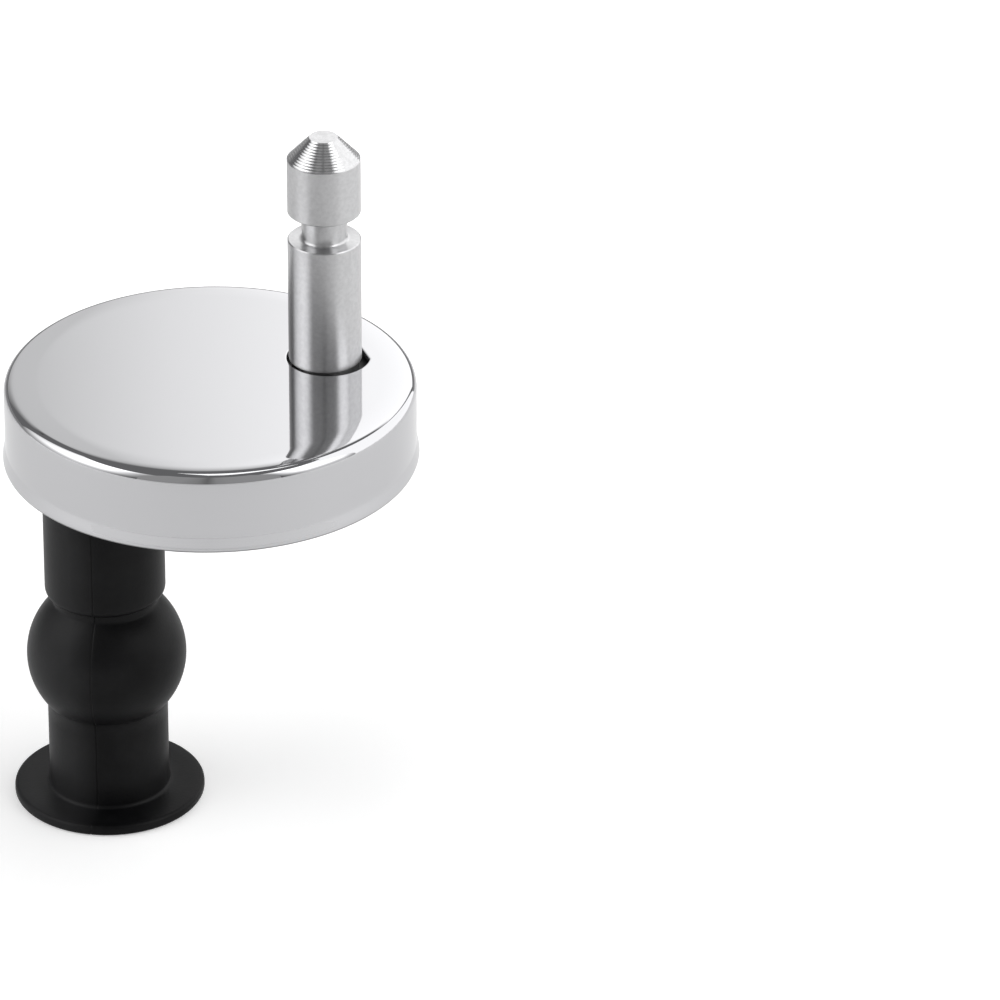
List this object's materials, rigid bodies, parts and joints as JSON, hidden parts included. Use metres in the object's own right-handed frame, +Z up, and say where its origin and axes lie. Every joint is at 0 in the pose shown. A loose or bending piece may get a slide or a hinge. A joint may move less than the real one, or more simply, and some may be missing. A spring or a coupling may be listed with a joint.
{
  "type": "toilet seat hinge",
  "caption": "Top-fix toilet seat hinge: a polished round cover over a base plate, an upright grooved pin for the seat and a rubber sleeve that expands in the pan hole.",
  "frame": {"origin": "on the clamp screw's axis, in the plane of the pan's surface that the base gasket seats on", "axes": "+Z up, along the clamp screw and the hinge pin; +X from the clamp screw to the hinge pin"},
  "size_m": [0.0515, 0.0512, 0.0857],
  "materials": {
    "polished_stainless": "mirror polished",
    "turned_stainless": "turned, satin",
    "zinc_plated_steel": "bright zinc",
    "brass": "machined",
    "black_rubber": "matte, moulded",
    "gasket_rubber": "matte",
    "black_nylon": "moulded, fine texture"
  },
  "bodies": {
    "anchor": {"expansion_sleeve": "black_rubber"},
    "nut": {"captive_nut": "brass"},
    "screw": {"clamp_screw": "zinc_plated_steel"},
    "base": {"base_plate": "black_nylon", "base_gasket": "gasket_rubber", "plain_washer": "zinc_plated_steel", "hinge_pin": "turned_stainless", "pin_screw": "zinc_plated_steel"},
    "cover": {"cover_cap": "polished_stainless"}
  },
  "joints": [
    {"name": "base_swivel", "type": "hinge", "parent": "anchor", "child": "base", "pos_m": [0, 0, 0], "axis": [0, 0, 1], "continuous": true},
    {"name": "cover_lift", "type": "slide", "parent": "base", "child": "cover", "axis": [0, 0, 1], "range_m": [0, 0.042]},
    {"name": "screw_turn", "type": "hinge", "parent": "anchor", "child": "screw", "pos_m": [0, 0, 0], "axis": [0, 0, -1], "range_deg": [0, 2160]},
    {"name": "nut_draw", "type": "slide", "parent": "anchor", "child": "nut", "axis": [0, 0, 1], "range_m": [0, 0.00601], "deforming": ["expansion_sleeve"]}
  ],
  "couplings": [
    {"joint": "nut_draw", "follows": "screw_turn", "m_per_rad": 0.00015915}
  ]
}
